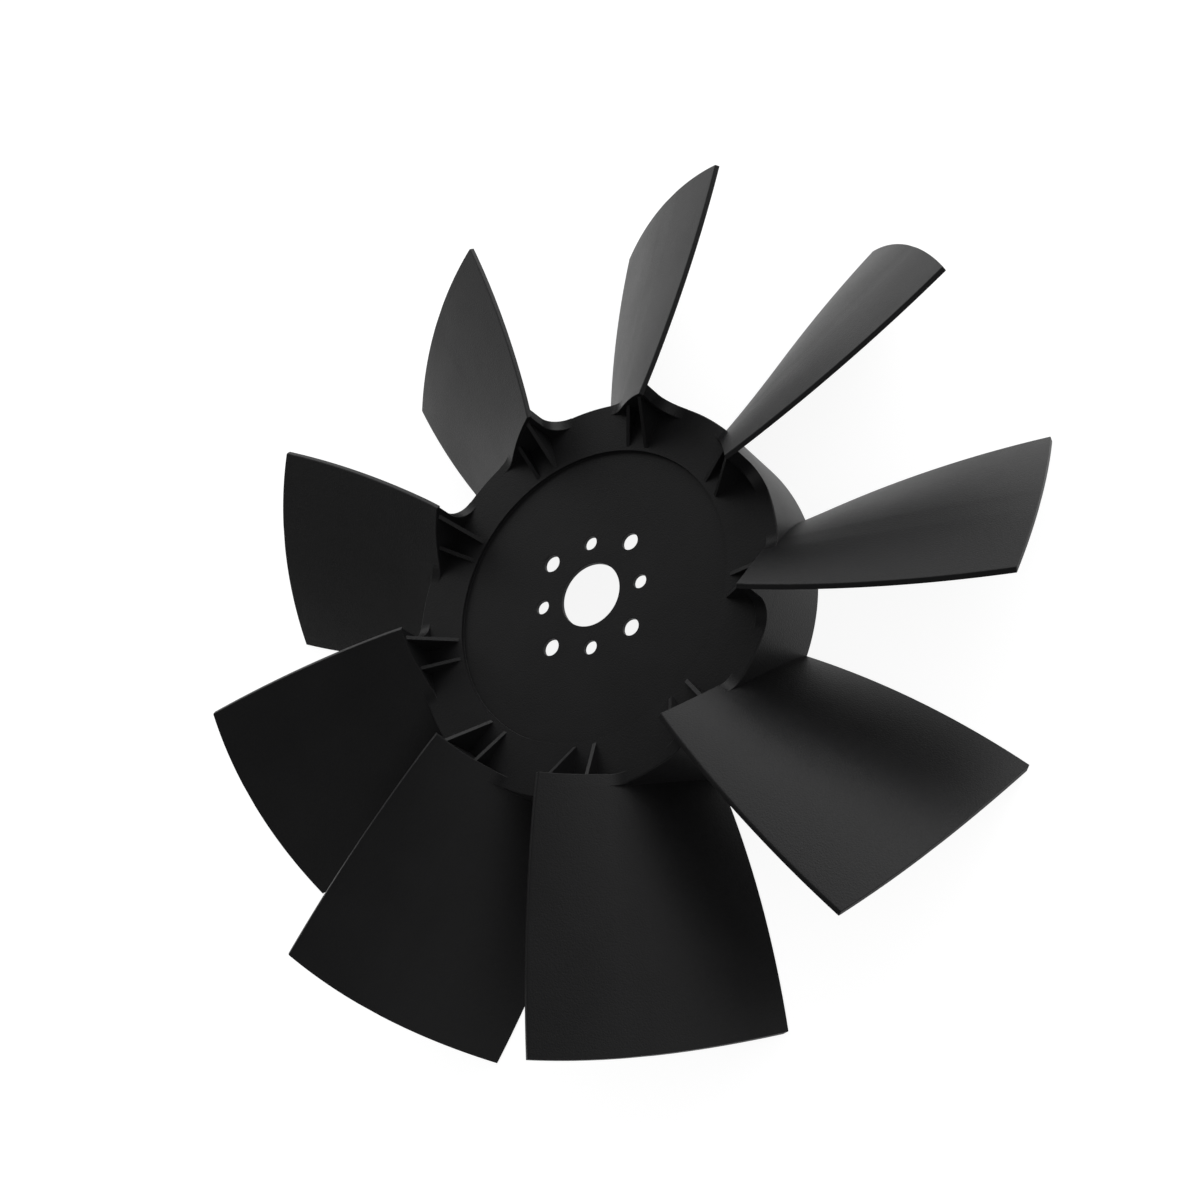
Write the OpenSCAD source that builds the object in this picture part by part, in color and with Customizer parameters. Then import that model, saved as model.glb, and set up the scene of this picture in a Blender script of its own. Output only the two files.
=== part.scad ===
// Axial fan wheel moulded in one piece: a flat hub disc with a centre bore and two
// rings of bolt holes, a raised rim, a thin drum behind it and nine cambered blades.
// Sizes are in millimetres. The origin is on the bore axis at the disc's front face
// and +Z points out of the front, where the air comes in.

/* [Drum] */
// Outer diameter of the drum that carries the blades
drum_d = 315; // [306:1:324]
// Radial thickness of the drum wall
drum_wall = 6; // [4:0.5:8]
// Distance from the disc's front face back to the drum's rear edge
drum_depth = 61.6; // [56:0.2:66]
// Rounding of the drum's front and rear edges
edge_round = 1.2; // [0.6:0.2:1.8]

/* [Hub disc] */
// Thickness of the disc
disc_t = 3.6; // [3:0.2:6]
// Diameter of the shallow recess that holds the flat disc
recess_d = 233.8; // [224:0.2:240]
// Height of the raised rim over the disc's front face
rim_h = 2.8; // [2:0.2:4]
// Radius of the fillet that leads from the disc up to the rim
recess_fillet = 5; // [4:0.5:8]
// Diameter of the centre bore
bore_d = 50.8; // [40:0.1:56]
// Radius of the fillet between the disc's back and the drum wall
back_fillet = 4; // [2:0.5:6]

/* [Bolt holes] */
// Number of holes in each of the two rings
hole_count = 4; // [3:1:4]
// Pitch circle diameter of the large holes
large_pcd = 98.4; // [96:0.1:110]
// Diameter of the large holes
large_hole_d = 13.5; // [10:0.1:15]
// Angle of the first large hole
large_angle = 15; // [10:1:20]
// Pitch circle diameter of the small holes
small_pcd = 85.7; // [82:0.1:90]
// Diameter of the small holes
small_hole_d = 11; // [8:0.1:13]
// Angle of the first small hole
small_angle = 60; // [55:1:65]

/* [Blades] */
// Number of blades
blade_count = 9; // [7:1:9]
// Diameter over the blade tips
tip_d = 686; // [660:1:720]
// Thickness of a blade
blade_t = 3.2; // [2.8:0.1:4]
// Height of the front face's leading edge, before its bevel, over the disc's front face
lead_h = 39.6; // [36:0.2:42]
// Length of the bevel along the leading edge
lead_bevel = 1.7; // [0.8:0.1:2.5]
// How far the trailing edges stand in from the drum's rear edge
trail_in = 1.1; // [0.7:0.1:3]
// Angle of the first blade's leading edge at the drum
lead_angle = 72.5; // [70:0.1:76]
// Angle that the leading edge swings back from the drum to the tip
lead_sweep = 3.5; // [2:0.1:5]
// Power of the leading edge's swing, where 1 is a straight line
lead_bend = 1.2; // [1:0.1:1.6]
// Angle that a blade covers round the axis at the drum
root_span = 34.6; // [32:0.1:36]
// Angle that the trailing edge draws in from the drum to the tip
tip_draw = 7.2; // [6:0.1:9]
// Height of the blade's arch over its chord at the drum
root_camber = 9; // [6:0.1:11]
// Height of the blade's arch over its chord at the tip
tip_camber = 6.8; // [5:0.1:9]

/* [Root towers] */
// Radial depth of the lip that a blade carries in over the rim
lip_depth = 9.4; // [8:0.1:11]
// Radius of the sweeps from the rim up to the leading edge and up the blade's face
sweep_r = 17.5; // [12:0.5:20]
// How far the tower's front edge stands back from the leading edge
tower_back = 0.7; // [0.5:0.1:1.5]
// How far the lip stands proud of the tower below it
lip_proud = 0.3; // [0.2:0.1:0.6]

/* [Gusset ribs] */
// Thickness of the ribs on the front rim
rib_t = 3; // [2:0.1:4]
// Distance from the recess to where the ribs start
rib_start = 2.8; // [2:0.1:5]
// Angle from a blade's leading edge to its first rib
rib_first = 2.2; // [2:0.1:3]
// Angle between a blade's two ribs
rib_step = 8; // [7:0.1:9]
// Thickness of the gussets inside the drum
back_rib_t = 3; // [2:0.1:4]
// Reach of the gussets inside the drum, inward from its wall
back_rib_reach = 34; // [26:1:40]
// Depth of the gussets at the drum's wall
back_rib_depth = 30; // [20:1:40]
// Depth of the gussets at their inner ends
back_rib_end = 2; // [1:0.5:4]

/* [Hidden] */

drum_r = drum_d / 2;
drum_in_r = drum_r - drum_wall;
tip_r = tip_d / 2;
lip_r = drum_r - lip_depth;
recess_r = recess_d / 2;
trail_depth = drum_depth - trail_in;
chord_h = lead_h + trail_depth;
pitch = 360 / blade_count;
// Overlap by which one feature is sunk into the next.
sink = 2;
// Depth under the rim's face at which a rib's slope ends.
toe = 0.6;
// How far the ends of a tower's sweeps are set into the rim, and its outer end into the drum.
settle = 0.05;
drum_inset = 0.1;
// Depth of the web under the lip's front face, as a part of the blade's thickness.
web_part = 0.6;
// Radius inside the drum wall where the blades are rooted.
root_r = drum_r - drum_wall / 2;
// Height at which the blade's lip dives into the rim, just under its top, and the height
// from which the blade's root is in the drum wall.
dive_z = rim_h - 0.5;
root_z = rim_h - 5;
// Steps along the blade: over the rim, through it and down the drum.
front_steps = 6;
drum_steps = 9;
// Radii of the blade's stations between the drum and the tip, as parts of its length.
stations = [0.02, 0.08, 0.18, 0.3, 0.44, 0.58, 0.72, 0.86, 1];
sweep_steps = 7;
blend_steps = 5;
round_steps = 4;
// Segments of the turned hub and of the bolt holes.
hub_fn = 180;
hole_fn = 48;
rad = 180 / PI;

// The part of the way from the drum to the tip, 0 to 1.
function reach(r) = max(0, (r - drum_r) / (tip_r - drum_r));
// The angle of the leading edge and the angle that the blade covers at a radius.
function lead_at(r) = lead_angle + lead_sweep * pow(reach(r), lead_bend);
function span_at(r) = root_span - tip_draw * reach(r) - lead_at(r) + lead_angle;
function camber_at(r) = root_camber + (tip_camber - root_camber) * reach(r);
// The chord unrolled at a radius: its run round the axis and its full length.
function run_at(r) = r * span_at(r) / rad;
function chord_at(r) = norm([run_at(r), chord_h]);

// The front face of the blade on the unrolled cylinder, u = 0 leading to u = 1 trailing.
function face_at(r, u) =
  let (s = run_at(r), c = chord_at(r), rise = 4 * camber_at(r) * u * (1 - u))
  [s * u + rise * chord_h / c, lead_h - chord_h * u + rise * s / c];
// The unit direction along the face there.
function along_at(r, u) =
  let (s = run_at(r), c = chord_at(r), slope = 4 * camber_at(r) * (1 - 2 * u),
       v = [s + slope * chord_h / c, -chord_h + slope * s / c])
  v / norm(v);
// A point at a depth under the front face.
function under_at(r, u, depth) =
  let (d = along_at(r, u)) face_at(r, u) + depth * [d[1], -d[0]];
// The value of u at which the front face of the lip passes a height.
function u_at_height(r, z) =
  let (k = 4 * camber_at(r) * run_at(r) / chord_at(r), b = chord_h - k)
  (sqrt(b * b + 4 * k * (lead_h - z)) - b) / (2 * k);
// The value of u at which the back face ends level with the front face's trailing edge.
function u_back_end(r) =
  let (d = along_at(r, 1), slope = chord_h + 4 * camber_at(r) * run_at(r) / chord_at(r))
  1 - blade_t * d[0] / slope;
// The value of u at which the back face passes an angle from the leading edge.
function u_back_angle(r, a, lo = 0, hi = 1, n = 16) =
  let (m = (lo + hi) / 2)
  n == 0 ? m :
  under_at(r, m, blade_t)[0] * rad / r < a ? u_back_angle(r, a, m, hi, n - 1) :
  u_back_angle(r, a, lo, m, n - 1);
// A point of the unrolled cylinder rolled up again.
function roll(r, p) =
  let (a = lead_at(r) + p[0] * rad / r) [r * cos(a), r * sin(a), p[1]];

// Faces of a solid made of rings of points. Each ring is a row along one side and the
// same row back along the other, so its two end caps are strips between the rows.
function ring_faces(rings, m) = let (n = 2 * m) concat(
  [for (i = [0 : rings - 2], j = [0 : n - 1])
    [i * n + j, i * n + (j + 1) % n, (i + 1) * n + j]],
  [for (i = [0 : rings - 2], j = [0 : n - 1])
    [i * n + (j + 1) % n, (i + 1) * n + (j + 1) % n, (i + 1) * n + j]],
  [for (j = [0 : m - 2]) [j + 1, j, n - 1 - j]],
  [for (j = [0 : m - 2]) [j + 1, n - 1 - j, n - 2 - j]],
  [for (j = [0 : m - 2], q = (rings - 1) * n) [q + j, q + j + 1, q + n - 1 - j]],
  [for (j = [0 : m - 2], q = (rings - 1) * n) [q + j + 1, q + n - 2 - j, q + n - 1 - j]]);

// One blade, cambered like a wing and twisted, with its lip over the rim.
module blade() {
  dive_u = u_at_height(lip_r, dive_z);
  drum_u = u_at_height(lip_r, root_z);
  rows = concat(
    [for (i = [0 : front_steps]) dive_u * i / front_steps],
    [for (i = [0 : drum_steps]) drum_u + (1 - drum_u) * i / drum_steps]);
  m = len(rows);
  // Over the rim the root is the lip's edge, behind it the root is in the drum wall.
  root = [for (i = [0 : m - 1]) i <= front_steps ? lip_r : root_r];
  radii = [for (t = stations) drum_r + t * (tip_r - drum_r)];
  rings = len(radii) + 1;
  points = [for (k = [0 : rings - 1]) each concat(
    [for (i = [0 : m - 1], r = k == 0 ? root[i] : radii[k - 1])
      roll(r, face_at(r, i == 0 ? lead_bevel / chord_at(r) : rows[i]))],
    [for (i = [m - 1 : -1 : 0], r = k == 0 ? root[i] : radii[k - 1])
      roll(r, i == m - 1 ? [under_at(r, u_back_end(r), blade_t)[0], -trail_depth]
                         : under_at(r, rows[i], blade_t))])];
  polyhedron(points = points, faces = ring_faces(rings, m));
}

// The sweep from the blade's front face down to the rim at a radius, as a row of points.
function blend_at(r) =
  let (foot = face_at(r, u_at_height(r, rim_h)), d = along_at(r, u_at_height(r, rim_h)),
       fall = atan(-d[1] / d[0]), centre = foot[0] + sweep_r * tan(fall / 2))
  [for (i = [blend_steps : -1 : 0], a = fall * i / blend_steps)
    [centre - sweep_r * sin(a), rim_h - settle + sweep_r * (1 - cos(a))]];

// The web that fills the space under the lip and sweeps down to the rim at both ends.
module tower() {
  depth = blade_t * web_part;
  base = rim_h - sink;
  radii = [lip_r + lip_proud, (lip_r + drum_r) / 2, drum_r - drum_inset];
  points = [for (r = radii)
    let (start = under_at(r, tower_back / chord_at(r), depth),
         blend = blend_at(r),
         last_u = u_at_height(r, blend[0][1]),
         top = concat(
           [for (i = [0 : sweep_steps], a = 90 * i / sweep_steps)
             [start[0] - 2 * settle - sweep_r * (1 - sin(a)),
              rim_h - settle + sweep_r * (1 - cos(a))]],
           [start],
           [for (i = [1 : front_steps]) under_at(r, last_u * i / front_steps, depth)],
           blend),
         m = len(top))
    each concat(
      [for (p = top) roll(r, p)],
      [for (i = [m - 1 : -1 : 0]) roll(r, [top[i][0], base])])];
  polyhedron(points = points, faces = ring_faces(len(radii), len(points) / (2 * len(radii))));
}

// The two thin ribs that stay a tower from the inside.
module ribs() {
  for (i = [0 : 1]) {
    a = rib_first + i * rib_step;
    top = under_at(lip_r, u_back_angle(lip_r, a), blade_t)[1];
    start_r = recess_r + rib_start;
    slope = (top - rim_h) / (lip_r - start_r);
    rotate([0, 0, lead_angle + a])
      rotate([90, 0, 0])
        translate([0, 0, -rib_t / 2])
          linear_extrude(rib_t)
            polygon([[start_r - toe / slope, rim_h - toe],
                     [lip_r + sink, top + slope * sink], [lip_r + sink, rim_h - toe]]);
  }
}

// The gusset inside the drum behind each blade.
module back_rib() {
  in_r = drum_in_r + sink / 2;
  top = sink / 2 - disc_t;
  rotate([0, 0, lead_angle + root_span / 2])
    rotate([90, 0, 0])
      translate([0, 0, -back_rib_t / 2])
        linear_extrude(back_rib_t)
          polygon([[in_r, top], [in_r - back_rib_reach, top],
                   [in_r - back_rib_reach, -disc_t - back_rib_end],
                   [in_r, -disc_t - back_rib_depth]]);
}

// Points of a rounded corner about a centre, from one angle to another.
function corner(x, z, r, from, to) =
  [for (i = [0 : round_steps]) let (a = from + (to - from) * i / round_steps)
    [x + r * cos(a), z + r * sin(a)]];

// The disc, the raised rim and the drum, turned from one outline.
module hub() {
  e = edge_round;
  f = back_fillet;
  run = sqrt(rim_h * (2 * recess_fillet - rim_h));
  rotate_extrude($fn = hub_fn)
    polygon(concat(
      [[bore_d / 2, -disc_t], [bore_d / 2, 0]],
      corner(recess_r - run, recess_fillet, recess_fillet, -90, asin(run / recess_fillet) - 90),
      corner(drum_r - e, rim_h - e, e, 90, 0),
      corner(drum_r - e / 2, e / 2 - drum_depth, e / 2, 0, -90),
      [[drum_in_r, -drum_depth]],
      corner(drum_in_r - f, -disc_t - f, f, 0, 90)));
}

module hole_ring(pcd, d, first) {
  for (i = [0 : hole_count - 1])
    rotate([0, 0, first + i * 360 / hole_count])
      translate([pcd / 2, 0, -disc_t - sink])
        cylinder(h = disc_t + 2 * sink, d = d, $fn = hole_fn);
}

module fan_wheel() {
  color([0.035, 0.035, 0.038])
    difference() {
      union() {
        hub();
        for (k = [0 : blade_count - 1])
          rotate([0, 0, -k * pitch]) {
            blade();
            tower();
            ribs();
            back_rib();
          }
      }
      hole_ring(large_pcd, large_hole_d, large_angle);
      hole_ring(small_pcd, small_hole_d, small_angle);
    }
}

fan_wheel();
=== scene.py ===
import math

import bmesh
import bpy
import numpy as np
from mathutils import Matrix, Vector


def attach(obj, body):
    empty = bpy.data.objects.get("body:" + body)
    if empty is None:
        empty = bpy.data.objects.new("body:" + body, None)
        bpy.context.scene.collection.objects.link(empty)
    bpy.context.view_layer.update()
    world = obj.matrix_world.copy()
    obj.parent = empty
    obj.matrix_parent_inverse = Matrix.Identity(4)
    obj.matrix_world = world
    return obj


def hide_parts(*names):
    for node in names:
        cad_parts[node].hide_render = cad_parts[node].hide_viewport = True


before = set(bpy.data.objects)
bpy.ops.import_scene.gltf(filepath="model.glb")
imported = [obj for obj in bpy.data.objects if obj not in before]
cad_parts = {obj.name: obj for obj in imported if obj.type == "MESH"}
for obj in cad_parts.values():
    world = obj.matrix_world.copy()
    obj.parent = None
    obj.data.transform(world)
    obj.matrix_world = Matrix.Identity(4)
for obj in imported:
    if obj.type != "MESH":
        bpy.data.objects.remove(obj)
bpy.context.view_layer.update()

# ------------------------------------------------------------------ blade, tower and ribs
# A ninth of the wheel, black plastic moulded in one with the hub: a thin cambered blade,
# twisted so that its tip lies flatter than its root, with a bevelled leading edge. The tower
# and the ribs under its lip carry it on the rim. Sizes are in millimetres and degrees.
MM = 0.001
BLADES = 9

DRUM_R = 157.5
DRUM_WALL = 6.0
DRUM_DEPTH = 61.6
RIM_H = 2.8
DISC_T = 3.6
RECESS_R = 116.9

TIP_R = 343.0
LIP_R = DRUM_R - 9.4
ROOT_R = DRUM_R - DRUM_WALL / 2
BLADE_T = 3.2
LEAD_H = 39.6
TRAIL_DEPTH = 60.5
CHORD_H = LEAD_H + TRAIL_DEPTH
LEAD_BEVEL = 1.7
LEAD_ANGLE = 72.5
LEAD_SWEEP = 3.5
LEAD_BEND = 1.2
ROOT_SPAN = 34.6
TIP_DRAW = 7.2
ROOT_CAMBER = 9.0
TIP_CAMBER = 6.8
DRUM_ENTRY = 5.0

SWEEP_R = 17.5
WEB_PART = 0.6
WEB_INSET = 0.3
WEB_LEAD = 0.7
WEB_GAP = 0.1
WEB_SEAT = 0.02

RIB_T = 3.0
RIB_START = RECESS_R + 2.8
RIB_TOE = 0.6
RIB_FRONT = 6.0
RIB_FIRST = 2.2
RIB_STEP = 8.0
BACK_RIB_RUN = 34.0
BACK_RIB_DEPTH = 30.0
BACK_RIB_END = 2.0
BACK_RIB_SUNK = 1.0
SUNK = 2.0

EDGE = 0.35
FRONT_EDGE = 0.8
TOWER_EDGE = 0.4
RIB_EDGE = 0.1
LEAST_EDGE = 0.04

# how finely each form is divided
QUARTER = np.linspace(0, np.pi / 2, 4)
LIP_ROWS, BACK_ROWS = 14, 24
LAST_ROWS = 0.985, 0.993
SPAN_RINGS, FIRST_RING = 26, 0.004
WALL_RING = DRUM_R - 1.5
LEAD_STEPS, TOP_STEPS, FACE_STEPS = 20, 15, 12
LINE_STEPS = 4001


def reach(r):
    """Part of the way from the drum to the tip."""
    return np.clip((r - DRUM_R) / (TIP_R - DRUM_R), 0, None)


def lead_at(r):
    return LEAD_ANGLE + LEAD_SWEEP * reach(r) ** LEAD_BEND


def run_at(r):
    """Length of the blade's way round at radius r."""
    return r * np.radians(ROOT_SPAN - TIP_DRAW * reach(r) - lead_at(r) + LEAD_ANGLE)


def chord_at(r):
    return np.hypot(run_at(r), CHORD_H)


def arch_at(r):
    """Four times the camber, the factor of the parabola u * (1 - u)."""
    return 4 * (ROOT_CAMBER + (TIP_CAMBER - ROOT_CAMBER) * reach(r))


def under(r, u, w):
    """The unrolled point at part u of the blade's way round and depth w under its front face."""
    s, c, k = run_at(r), chord_at(r), arch_at(r)
    vx = s + k * (1 - 2 * u) * CHORD_H / c
    vz = -CHORD_H + k * (1 - 2 * u) * s / c
    g = np.hypot(vx, vz)
    x = s * u + k * u * (1 - u) * CHORD_H / c + w * vz / g
    z = LEAD_H - CHORD_H * u + k * u * (1 - u) * s / c - w * vx / g
    return x, z


def roll(r, x, z):
    """Rolls an unrolled point back onto its cylinder."""
    a = np.radians(lead_at(r)) + x / r
    return np.stack([r * np.cos(a), r * np.sin(a), z], -1)


def back_end(r):
    """Part of the way at which the back face is level with the front face's trailing edge."""
    s, c, k = run_at(r), chord_at(r), arch_at(r)
    vx, vz = s - k * CHORD_H / c, -CHORD_H - k * s / c
    return 1 - BLADE_T * vx / np.hypot(vx, vz) / (CHORD_H + k * s / c)


def u_at_height(r, z):
    """Part of the way at which the front face has come down to height z."""
    k = arch_at(r) * run_at(r) / chord_at(r)
    b = CHORD_H - k
    return (np.sqrt(b * b + 4 * k * (LEAD_H - z)) - b) / (2 * k)


def face_sweep(r):
    """Slope, centre and top end of the sweep from the rim up the blade's face."""
    x, z = under(r, u_at_height(r, RIM_H) + np.array([-0.001, 0, 0.001]), 0)
    fall = np.arctan((z[0] - z[2]) / (x[2] - x[0]))
    top = u_at_height(r, RIM_H + SWEEP_R * (1 - np.cos(fall)))
    return fall, x[1] + SWEEP_R * np.tan(fall / 2), top


def blade_rows():
    """Parts of the way that carry a row of points, and where the lip ends and the drum starts."""
    dive = face_sweep(LIP_R)[2]
    drum = u_at_height(LIP_R, RIM_H - DRUM_ENTRY)
    first = (LEAD_BEVEL + FRONT_EDGE * 2) / chord_at(LIP_R)
    rows = np.concatenate([np.linspace(first, dive, LIP_ROWS),
                           np.linspace(drum, LAST_ROWS[0], BACK_ROWS), [LAST_ROWS[1]]])
    return rows, dive, drum


def blade_ring(r, root, inset):
    """One closed section. Its points behind the lip lie at the second radius, root."""
    rows, dive, drum = blade_rows()
    edge = max(EDGE - inset, LEAST_EDGE)
    front = max(FRONT_EDGE - inset, LEAST_EDGE)
    away, along = np.cos(QUARTER), np.sin(QUARTER)
    chord = float(chord_at(r))
    end = float(back_end(r))
    near, far = inset + edge, BLADE_T - inset - edge

    def bevel(w):
        return LEAD_BEVEL * (1 - w / BLADE_T) / chord

    def trail(w):
        return 1 - w / BLADE_T * (1 - end)

    back = np.where(rows > drum, drum + (rows - drum) * (end - drum) / (1 - drum), rows)
    w_lead = inset + front - front * along
    w_trail = near - edge * away
    w_trail_back = far + edge * along
    w_lead_back = far + edge * away
    u = np.concatenate([
        (inset + front - front * away) / chord + bevel(w_lead),
        rows,
        trail(w_trail) - (near - edge * along) / chord,
        trail(w_trail_back) - (near - edge * away) / chord,
        back[::-1],
        (near - edge * along) / chord + bevel(w_lead_back)])
    w = np.concatenate([
        w_lead, np.full(len(rows), inset), w_trail,
        w_trail_back, np.full(len(rows), BLADE_T - inset), w_lead_back])
    radius = np.where(u > dive + 1e-6, root, r)
    return roll(radius, *under(radius, u, w))


def skin(rings):
    """Points and faces of a closed body from rings whose second half runs back along the first."""
    n = len(rings[0])
    last = (len(rings) - 1) * n
    faces = [(i * n + j, i * n + (j + 1) % n, (i + 1) * n + (j + 1) % n, (i + 1) * n + j)
             for i in range(len(rings) - 1) for j in range(n)]
    for start, step in ((0, -1), (last, 1)):
        faces += [(start + j, start + j + 1, start + n - 2 - j, start + n - 1 - j)[::step]
                  for j in range(n // 2 - 1)]
    return np.concatenate(rings), faces


def blade():
    rings = []
    for a in QUARTER:
        in_by, out_by = EDGE * (1 - np.sin(a)), EDGE * (1 - np.cos(a))
        rings.append(blade_ring(LIP_R + out_by, ROOT_R + out_by / 2, in_by))
    rings.append(blade_ring(LIP_R + EDGE * 2, ROOT_R + EDGE, 0))
    rings.append(blade_ring(WALL_RING, WALL_RING, 0))
    for part in np.linspace(FIRST_RING, 1, SPAN_RINGS):
        r = DRUM_R + (TIP_R - EDGE * 2 - DRUM_R) * part
        rings.append(blade_ring(r, r, 0))
    for a in QUARTER:
        r = TIP_R - EDGE * (1 - np.sin(a))
        rings.append(blade_ring(r, r, EDGE * (1 - np.cos(a))))
    return skin(rings)


def tower():
    """The web under the lip, swept up from the rim to the leading edge and to the face."""
    depth, base = BLADE_T * WEB_PART, RIM_H - SUNK
    inner, outer = LIP_R + WEB_INSET, DRUM_R - WEB_SEAT
    rounds = [(TOWER_EDGE * (1 - np.cos(a)), TOWER_EDGE * (1 - np.sin(a))) for a in QUARTER]
    stations = [(inner + by, drop) for by, drop in rounds]
    stations += [(inner + 2 * TOWER_EDGE, 0), (outer - 2 * TOWER_EDGE, 0)]
    stations += [(outer - by, drop) for by, drop in rounds[::-1]]
    rings = []
    for r, drop in stations:
        fall, centre, last = face_sweep(r)
        sweep = SWEEP_R + drop
        lead_x, lead_z = under(r, WEB_LEAD / chord_at(r), depth)
        up = np.linspace(0, np.pi / 2, LEAD_STEPS)
        top_x, top_z = under(r, np.linspace(0, 1, TOP_STEPS)[1:] * last, depth)
        down = np.linspace(fall, 0, FACE_STEPS)
        x = np.concatenate([lead_x - WEB_GAP - SWEEP_R + sweep * np.sin(up), [lead_x + drop],
                            top_x, centre - sweep * np.sin(down)])
        z = np.concatenate([RIM_H + SWEEP_R - sweep * np.cos(up), [lead_z],
                            top_z, RIM_H + SWEEP_R - sweep * np.cos(down)])
        rings.append(np.concatenate([roll(r, x, z), roll(r, x[::-1], np.full(len(x), base))]))
    return skin(rings)


def rib(angle, stations):
    """A thin rib in a plane through the axis. stations are (radius, base z, top z)."""
    c, s = np.cos(np.radians(angle)), np.sin(np.radians(angle))
    half = RIB_T / 2
    side = half - RIB_EDGE + RIB_EDGE * np.cos(QUARTER)
    drop = RIB_EDGE * (1 - np.sin(QUARTER))
    y = np.concatenate([[-half], -side, side[::-1], [half]])
    rings = []
    for r, base, top in stations:
        edge = top - (drop if top > base else -drop)
        z = np.concatenate([[base], edge, edge[::-1], [base]])
        rings.append(np.stack([r * c - y * s, r * s + y * c, z], -1))
    return skin(rings)


def ribs():
    """Two ribs that stay the tower on the rim, and one gusset behind the disc."""
    x, z = under(LIP_R, np.linspace(0, 1, LINE_STEPS), BLADE_T)
    made = []
    for angle in (RIB_FIRST, RIB_FIRST + RIB_STEP):
        top = float(np.interp(np.radians(angle) * LIP_R, x, z))
        slope = (top - RIM_H) / (LIP_R - RIB_START)
        made.append(rib(LEAD_ANGLE + angle, [
            (r, RIM_H - SUNK, RIM_H + slope * (r - RIB_START))
            for r in (RIB_START - RIB_TOE, RIB_START + RIB_FRONT, LIP_R, LIP_R + SUNK)]))
    wall, base = DRUM_R - DRUM_WALL + BACK_RIB_SUNK, BACK_RIB_SUNK - DISC_T
    made.append(rib(LEAD_ANGLE + ROOT_SPAN / 2, [
        (wall - BACK_RIB_RUN, base, -DISC_T - BACK_RIB_END),
        (wall, base, -DISC_T - BACK_RIB_DEPTH)]))
    return made


def mesh_object(name, bodies):
    """One object of closed bodies in millimetres, with the faces of each turned outward."""
    verts, faces, base = [], [], 0
    for v, f in bodies:
        verts.append(v * MM)
        faces += [tuple(i + base for i in q) for q in f]
        base += len(v)
    me = bpy.data.meshes.new(name)
    me.from_pydata(np.concatenate(verts).tolist(), [], faces)
    me.validate()
    bm = bmesh.new()
    bm.from_mesh(me)
    bmesh.ops.recalc_face_normals(bm, faces=bm.faces)
    bm.to_mesh(me)
    bm.free()
    ob = bpy.data.objects.new(name, me)
    bpy.context.scene.collection.objects.link(ob)
    return ob


def apply_modifiers(ob):
    """Puts the modified mesh in the place of the object's own and takes the modifiers off."""
    bpy.context.view_layer.update()
    seen = ob.evaluated_get(bpy.context.evaluated_depsgraph_get())
    ob.data, old = bpy.data.meshes.new_from_object(seen), ob.data
    ob.modifiers.clear()
    bpy.data.meshes.remove(old)


unit = mesh_object("root_unit", [blade(), tower()] + ribs())

# ------------------------------------------------------------------ hub
# The flat disc, the raised rim round it and the open drum behind, turned from one outline
# in the same black plastic. A centre bore and two rings of bolt holes go through the disc,
# which is bolted to the drive flange.
SEGMENTS = 288
BORE_R = 25.4
BORE_EDGE = 0.4
RECESS_FOOT, RECESS_EDGE = 0.25, 0.1
RECESS_FOOT_IN, RECESS_EDGE_OUT = 0.2, 0.05
RECESS_DRAFT = 6
RIM_EDGE = 1.2
DRUM_EDGE = 0.8
DISC_FILLET = 4.0
# (pitch circle, hole, angle of the first)
BOLT_RINGS = [(98.4, 13.5, 15), (85.7, 11.0, 60)]
BOLTS = 4
HOLE_SEGMENTS = 48
HOLE_OVERRUN = 3.0
DISC_ROWS = (60, 90)
DISC_BACK_ROWS = (120, 90, 60)
RIM_ROW = 136
WALL_ROWS = (-15, -30, -45)
WALL_TOP_ROW = 1.2


def turned(points, segments, closed=True):
    """Turns an outline of (radius, height) round the axis."""
    n = len(points)
    angles = np.arange(segments) * 2 * np.pi / segments
    verts = np.array([[r * np.cos(t), r * np.sin(t), z] for t in angles for r, z in points])
    faces = []
    for i in range(segments):
        here, there = i * n, (i + 1) % segments * n
        faces += [(here + j, there + j, there + (j + 1) % n, here + (j + 1) % n)
                  for j in range(n if closed else n - 1)]
    return verts, faces


def corner(x, z, r, start, end, steps=5):
    """Points on a round of radius r about (x, z)."""
    t = np.radians(np.linspace(start, end, steps + 1))
    return [(x + r * math.cos(i), z + r * math.sin(i)) for i in t]


def hub_outline():
    """From the bore out over the disc and the rim, down the drum and back inside it."""
    in_r, end = DRUM_R - DRUM_WALL, -DRUM_DEPTH
    line = corner(BORE_R + BORE_EDGE, -BORE_EDGE, BORE_EDGE, 180, 90)
    line += [(r, 0.0) for r in DISC_ROWS]
    line += corner(RECESS_R - RECESS_FOOT_IN - RECESS_FOOT, RECESS_FOOT, RECESS_FOOT,
                   270, 360 - RECESS_DRAFT, 6)
    line += corner(RECESS_R + RECESS_EDGE_OUT, RIM_H - RECESS_EDGE, RECESS_EDGE,
                   180 - RECESS_DRAFT, 90, 2)
    line += [(RIM_ROW, RIM_H)]
    line += corner(DRUM_R - RIM_EDGE, RIM_H - RIM_EDGE, RIM_EDGE, 90, 0)
    line += [(DRUM_R, z) for z in (WALL_TOP_ROW, *WALL_ROWS, end + 2 * DRUM_EDGE)]
    line += corner(DRUM_R - DRUM_EDGE, end + DRUM_EDGE, DRUM_EDGE, 0, -90)
    line += corner(in_r + DRUM_EDGE, end + DRUM_EDGE, DRUM_EDGE, -90, -180)
    line += [(in_r, z) for z in WALL_ROWS[::-1]]
    line += corner(in_r - DISC_FILLET, -DISC_T - DISC_FILLET, DISC_FILLET, 0, 90, 8)
    line += [(r, -DISC_T) for r in DISC_BACK_ROWS]
    line += corner(BORE_R + BORE_EDGE, -DISC_T + BORE_EDGE, BORE_EDGE, 270, 180)
    return line


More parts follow.
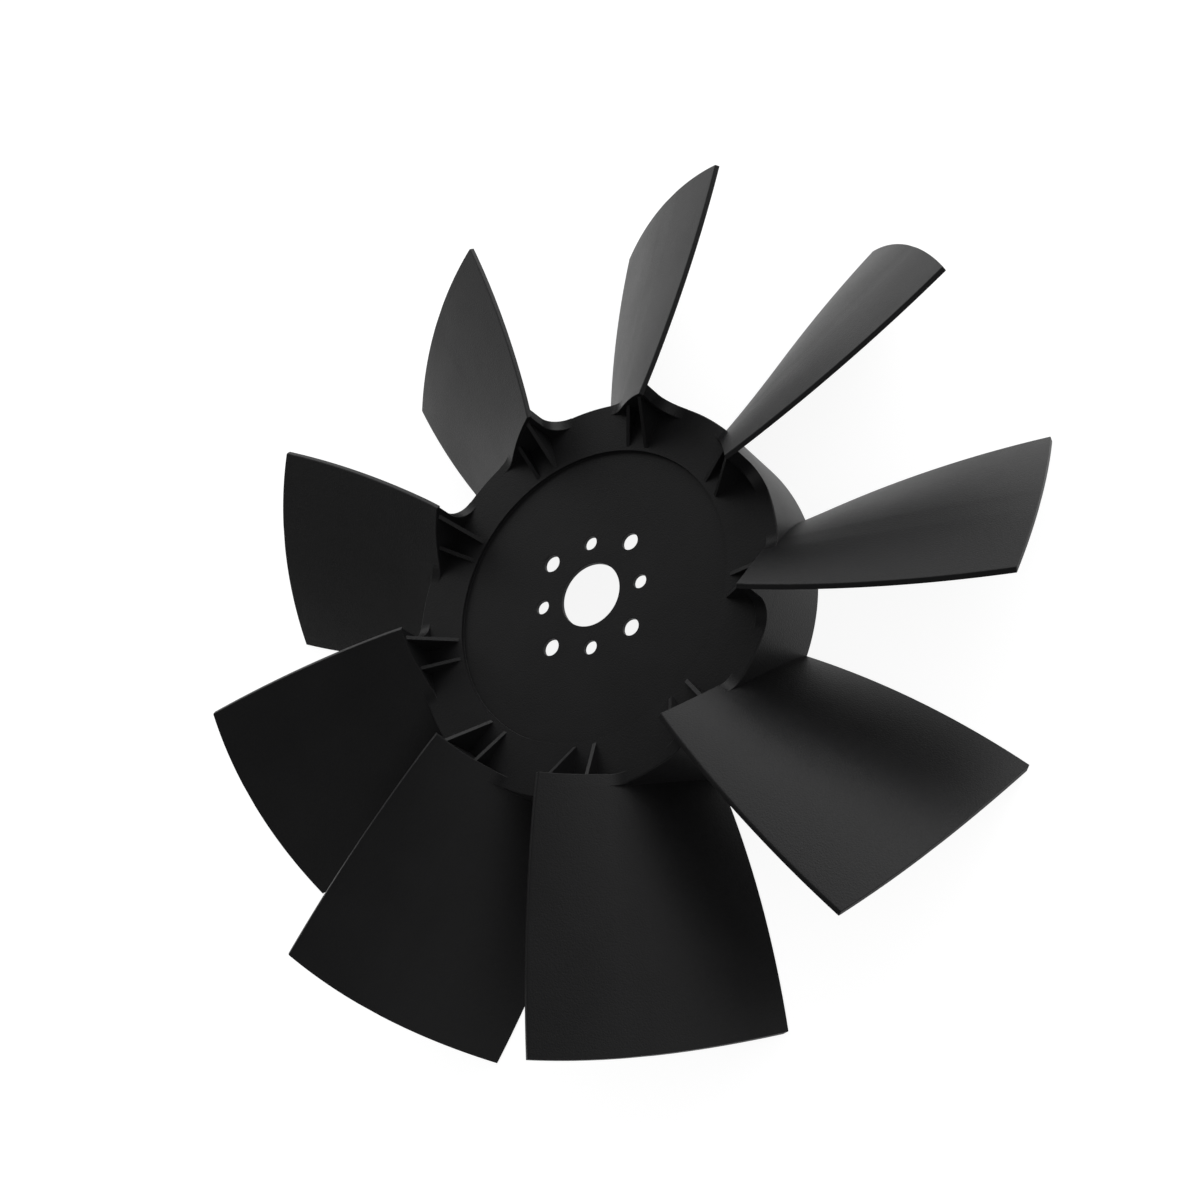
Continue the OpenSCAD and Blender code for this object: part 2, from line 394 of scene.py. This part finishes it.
def hole_cutter(pitch, diameter, angle):
    """A plug that cuts one bolt hole and rounds its edges at both faces of the disc."""
    flared = diameter / 2 + BORE_EDGE
    side = [(flared, HOLE_OVERRUN), (flared, 0.0)]
    side += corner(flared, -BORE_EDGE, BORE_EDGE, 90, 180, 3)
    side += corner(flared, -DISC_T + BORE_EDGE, BORE_EDGE, 180, 270, 3)
    side += [(flared, -DISC_T - HOLE_OVERRUN)]
    n = len(side)
    verts, faces = turned(side, HOLE_SEGMENTS, closed=False)
    top = tuple(i * n for i in range(HOLE_SEGMENTS))
    bottom = tuple(i * n + n - 1 for i in range(HOLE_SEGMENTS))[::-1]
    a = math.radians(angle)
    place = np.array([pitch / 2 * math.cos(a), pitch / 2 * math.sin(a), 0])
    return verts + place, faces + [top, bottom]


def hub():
    ob = mesh_object("hub", [turned(hub_outline(), SEGMENTS)])
    cutter = mesh_object("cutter", [
        hole_cutter(pitch, diameter, first + 360 / BOLTS * k)
        for pitch, diameter, first in BOLT_RINGS for k in range(BOLTS)])
    holes = ob.modifiers.new("holes", "BOOLEAN")
    holes.object = cutter
    holes.solver = "EXACT"
    holes.operation = "DIFFERENCE"
    apply_modifiers(ob)
    bpy.data.objects.remove(cutter)
    return ob


hub_ob = hub()

# ------------------------------------------------------------------ wheel
# The nine blades stand round the hub in one moulding of black plastic, satin, with a fine
# grain and a little uneven from the mould.
DARK = (0.0060, 0.0060, 0.0063, 1)
LIGHT = (0.0080, 0.0080, 0.0084, 1)
CLOUD_SCALE, CLOUD_DETAIL = 14, 4
GRAIN_SCALE, GRAIN_DETAIL = 800, 2
NOISE_ROUGHNESS = 0.6
NOISE_LOW, NOISE_HIGH = 0.3, 0.7
ROUGH_LOW, ROUGH_HIGH, ROUGH_GRAIN = 0.39, 0.45, 0.03
PLASTIC_IOR = 1.45
PLASTIC_SHINE = 0.17
GRAIN_STRENGTH = 0.6
GRAIN_HEIGHT = 0.0003
SHARP_ANGLE = 38
FLAT_WEIGHT = 90


def plastic():
    mat = bpy.data.materials.new("moulded_plastic")
    mat.use_nodes = True
    nt = mat.node_tree
    nt.nodes.clear()
    add, link = nt.nodes.new, nt.links.new
    out = add("ShaderNodeOutputMaterial")
    shader = add("ShaderNodeBsdfPrincipled")
    link(shader.outputs[0], out.inputs[0])
    place = add("ShaderNodeTexCoord").outputs["Object"]

    def noise(scale, detail):
        n = add("ShaderNodeTexNoise")
        n.inputs["Scale"].default_value = scale
        n.inputs["Detail"].default_value = detail
        n.inputs["Roughness"].default_value = NOISE_ROUGHNESS
        link(place, n.inputs["Vector"])
        return n.outputs["Fac"]

    def spread(noise_out, low, high):
        m = add("ShaderNodeMapRange")
        m.inputs["From Min"].default_value = NOISE_LOW
        m.inputs["From Max"].default_value = NOISE_HIGH
        m.inputs["To Min"].default_value = low
        m.inputs["To Max"].default_value = high
        link(noise_out, m.inputs["Value"])
        return m.outputs[0]

    cloud = noise(CLOUD_SCALE, CLOUD_DETAIL)
    grain = noise(GRAIN_SCALE, GRAIN_DETAIL)
    colour = add("ShaderNodeMix")
    colour.data_type = "RGBA"
    colour.inputs["A"].default_value = DARK
    colour.inputs["B"].default_value = LIGHT
    link(spread(cloud, 0, 1), colour.inputs["Factor"])
    link(colour.outputs["Result"], shader.inputs["Base Color"])
    rough = add("ShaderNodeMath")
    rough.operation = "ADD"
    link(spread(cloud, ROUGH_LOW, ROUGH_HIGH), rough.inputs[0])
    link(spread(grain, -ROUGH_GRAIN, ROUGH_GRAIN), rough.inputs[1])
    link(rough.outputs[0], shader.inputs["Roughness"])
    shader.inputs["IOR"].default_value = PLASTIC_IOR
    shader.inputs["Specular IOR Level"].default_value = PLASTIC_SHINE
    bump = add("ShaderNodeBump")
    bump.inputs["Strength"].default_value = GRAIN_STRENGTH
    bump.inputs["Distance"].default_value = GRAIN_HEIGHT
    link(grain, bump.inputs["Height"])
    link(bump.outputs[0], shader.inputs["Normal"])
    return mat


def ring_of_units():
    """A tree that sets the unit round the axis and joins it with the object's own mesh."""
    group = bpy.data.node_groups.new("wheel", "GeometryNodeTree")
    io = group.interface
    io.new_socket("Geometry", in_out="INPUT", socket_type="NodeSocketGeometry")
    inputs = [io.new_socket(name, in_out="INPUT", socket_type="NodeSocket" + kind)
              for name, kind in (("Blades", "Int"), ("Unit", "Object"), ("Material", "Material"))]
    io.new_socket("Geometry", in_out="OUTPUT", socket_type="NodeSocketGeometry")
    add, link = group.nodes.new, group.links.new
    given, out = add("NodeGroupInput"), add("NodeGroupOutput")
    points = add("GeometryNodePoints")
    link(given.outputs["Blades"], points.inputs["Count"])
    info = add("GeometryNodeObjectInfo")
    link(given.outputs["Unit"], info.inputs["Object"])
    step = add("ShaderNodeMath")
    step.operation = "DIVIDE"
    step.inputs[0].default_value = -2 * math.pi
    link(given.outputs["Blades"], step.inputs[1])
    angle = add("ShaderNodeMath")
    angle.operation = "MULTIPLY"
    link(add("GeometryNodeInputIndex").outputs[0], angle.inputs[0])
    link(step.outputs[0], angle.inputs[1])
    turn = add("ShaderNodeCombineXYZ")
    link(angle.outputs[0], turn.inputs["Z"])
    stand = add("GeometryNodeInstanceOnPoints")
    link(points.outputs[0], stand.inputs["Points"])
    link(info.outputs["Geometry"], stand.inputs["Instance"])
    link(turn.outputs[0], stand.inputs["Rotation"])
    real = add("GeometryNodeRealizeInstances")
    link(stand.outputs[0], real.inputs[0])
    join = add("GeometryNodeJoinGeometry")
    link(real.outputs[0], join.inputs[0])
    link(given.outputs["Geometry"], join.inputs[0])
    paint = add("GeometryNodeSetMaterial")
    link(join.outputs[0], paint.inputs["Geometry"])
    link(given.outputs["Material"], paint.inputs["Material"])
    link(paint.outputs[0], out.inputs[0])
    return group, [socket.identifier for socket in inputs]


def wheel():
    mat = plastic()
    ob = hub_ob
    ob.name = "wheel"
    group, names = ring_of_units()
    mod = ob.modifiers.new("wheel", "NODES")
    mod.node_group = group
    for name, value in zip(names, (BLADES, unit, mat)):
        mod[name] = value
    apply_modifiers(ob)
    bpy.data.objects.remove(unit)
    for face in ob.data.polygons:
        face.use_smooth = True
    ob.data.set_sharp_from_angle(angle=math.radians(SHARP_ANGLE))
    even = ob.modifiers.new("even_normals", "WEIGHTED_NORMAL")
    even.mode, even.weight, even.keep_sharp = "FACE_AREA", FLAT_WEIGHT, True
    apply_modifiers(ob)
    ob.data.name = "wheel"
    ob.data.materials.clear()
    ob.data.materials.append(mat)
    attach(ob, "root")
    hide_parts("fan_wheel")


wheel()

# ------------------------------------------------------------------ floor
# A white light table that carries the wheel on its drum and runs out of the picture, so that
# little shadow falls on it.
FLOOR_HALF = 30.0
FLOOR_GAP = 0.0002
FLOOR_GLOW, FLOOR_WHITE = 0.9, 0.25


def light_table():
    s, z = FLOOR_HALF, -DRUM_DEPTH * MM - FLOOR_GAP
    me = bpy.data.meshes.new("floor")
    me.from_pydata([(-s, -s, z), (s, -s, z), (s, s, z), (-s, s, z)], [], [(0, 1, 2, 3)])
    ob = bpy.data.objects.new("floor", me)
    bpy.context.scene.collection.objects.link(ob)
    mat = bpy.data.materials.new("floor")
    mat.use_nodes = True
    shader = mat.node_tree.nodes["Principled BSDF"]
    shader.inputs["Base Color"].default_value = (FLOOR_WHITE, FLOOR_WHITE, FLOOR_WHITE, 1)
    shader.inputs["Roughness"].default_value = 1.0
    shader.inputs["Specular IOR Level"].default_value = 0.0
    shader.inputs["Emission Color"].default_value = (1, 1, 1, 1)
    shader.inputs["Emission Strength"].default_value = FLOOR_GLOW
    me.materials.append(mat)


light_table()

# ------------------------------------------------------------------ light
# Large soft boxes round the wheel, each a smooth spot on the surrounding sky. The key
# light stands low on the far right and the near side stays dark.
# (azimuth, elevation, tightness, strength)
BOXES = [(30, 15, 9, 3.9), (45, 22, 16, 1.7), (90, 15, 9, 2.0), (120, 15, 9, 0.38),
         (175, 34, 10, 0.3), (237, 34, 10, 0.42), (268, 34, 10, 0.94), (330, 34, 10, 1.1)]
FILL_GLOW = 0.01


def studio():
    world = bpy.data.worlds.new("studio")
    bpy.context.scene.world = world
    world.use_nodes = True
    nt = world.node_tree
    back = nt.nodes["Background"]
    back.inputs["Color"].default_value = (1, 1, 1, 1)
    sky = nt.nodes.new("ShaderNodeTexCoord").outputs["Generated"]

    def math_node(operation, first, second):
        m = nt.nodes.new("ShaderNodeMath")
        m.operation = operation
        for socket, value in zip(m.inputs, (first, second)):
            if isinstance(value, (int, float)):
                socket.default_value = value
            else:
                nt.links.new(value, socket)
        return m.outputs[0]

    total = FILL_GLOW
    for azimuth, elevation, tight, strength in BOXES:
        a, e = math.radians(azimuth), math.radians(elevation)
        dot = nt.nodes.new("ShaderNodeVectorMath")
        dot.operation = "DOT_PRODUCT"
        dot.inputs[1].default_value = (
            math.cos(e) * math.cos(a), math.cos(e) * math.sin(a), math.sin(e))
        nt.links.new(sky, dot.inputs[0])
        fall = math_node("MULTIPLY", math_node("SUBTRACT", dot.outputs["Value"], 1.0), float(tight))
        spot = math_node("POWER", math.e, fall)
        total = math_node("ADD", math_node("MULTIPLY", spot, float(strength)), total)
    nt.links.new(total, back.inputs["Strength"])


studio()

# ------------------------------------------------------------------ camera
# Seen from the front and below right of the wheel's axis, turned as in the picture. The
# picture's middle, scale and depth place the eye, in pixels of a 1200 pixel square.
IMAGE_PX = 1200.0
FOCAL_PX = 1657.27
SENSOR = 36.0
CENTRE_PX, CENTRE_PY = 589.90187, 594.07433
PX_PER_MM = 1.33888874
NEARNESS = 0.00080789020
MODEL_SCALE = 0.997
FACE_SHIFT = 0.4
LOOK = Vector((-0.564, -0.341, -0.752))
LEVEL = Vector((0.518, -0.856, 0.0))
TURN = Vector((0.19119923, 0.09733694, 0.29445637))


def camera():
    z = LOOK.normalized()
    x = (LEVEL - LEVEL.dot(z) * z).normalized()
    base = Matrix((x, z.cross(x), z)).transposed()
    view = Matrix.Rotation(TURN.length, 3, TURN.normalized()) @ base
    eye = Vector(((IMAGE_PX / 2 - CENTRE_PX) / PX_PER_MM, (IMAGE_PX / 2 - CENTRE_PY) / PX_PER_MM,
                  -1 / NEARNESS))
    place = view.transposed() @ eye * MODEL_SCALE
    place.z += FACE_SHIFT
    right, down, ahead = view[0], view[1], view[2]
    data = bpy.data.cameras.new("camera")
    data.sensor_width = SENSOR
    data.lens = SENSOR * FOCAL_PX / IMAGE_PX
    data.clip_start, data.clip_end = 0.05, 100
    ob = bpy.data.objects.new("camera", data)
    axes = Matrix((right, -down, -ahead)).transposed()
    ob.matrix_world = Matrix.Translation(place * MM) @ axes.to_4x4()
    bpy.context.scene.collection.objects.link(ob)
    bpy.context.scene.camera = ob


camera()
bpy.context.scene.view_settings.view_transform = "Standard"

bpy.context.view_layer.update()
